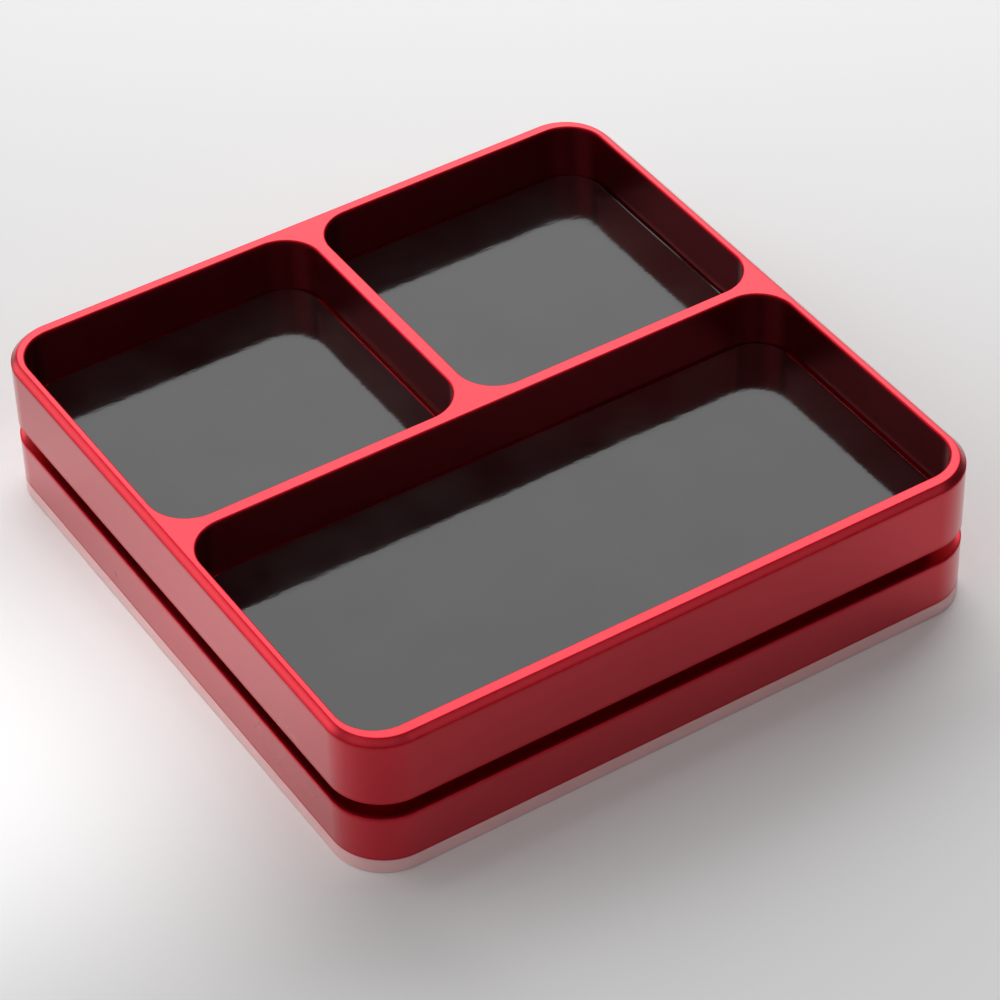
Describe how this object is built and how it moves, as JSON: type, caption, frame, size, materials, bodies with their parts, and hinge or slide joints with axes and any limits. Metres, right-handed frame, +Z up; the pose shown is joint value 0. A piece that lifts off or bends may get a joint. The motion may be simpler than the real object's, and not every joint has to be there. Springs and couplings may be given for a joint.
{
  "type": "magnetic parts tray",
  "caption": "Square anodised metal bench tray with round-cornered pockets, glossy floor mats and magnets hidden in a screwed-on base, which keeps small steel parts from rolling away.",
  "frame": {"origin": "middle of the flat underside, on the surface that the tray stands on", "axes": "+Z up out of the pockets, +Y towards the back with the two small pockets, +X to the right"},
  "size_m": [0.1, 0.1, 0.0239],
  "materials": {
    "red_anodised": "satin red anodised, fine bead-blast grain",
    "black_mat": "glossy black sheet with faint lengthways streaks",
    "screw_steel": "zinc plated",
    "magnet_nickel": "nickel plated, bright",
    "clear_silicone": "frosted translucent silicone, tinted by the red metal above it"
  },
  "bodies": {
    "root": {"tray": "red_anodised", "left_floor_mat": "black_mat", "right_floor_mat": "black_mat", "front_floor_mat": "black_mat", "tray_screws": "screw_steel", "base_block": "red_anodised", "base_pad": "clear_silicone", "left_magnet_1": "magnet_nickel", "left_magnet_2": "magnet_nickel", "left_magnet_3": "magnet_nickel", "left_magnet_4": "magnet_nickel", "right_magnet_1": "magnet_nickel", "right_magnet_2": "magnet_nickel", "right_magnet_3": "magnet_nickel", "right_magnet_4": "magnet_nickel", "front_magnet_1": "magnet_nickel", "front_magnet_2": "magnet_nickel", "front_magnet_3": "magnet_nickel", "front_magnet_4": "magnet_nickel", "front_magnet_5": "magnet_nickel", "front_magnet_6": "magnet_nickel", "front_magnet_7": "magnet_nickel", "front_magnet_8": "magnet_nickel"}
  },
  "joints": []
}
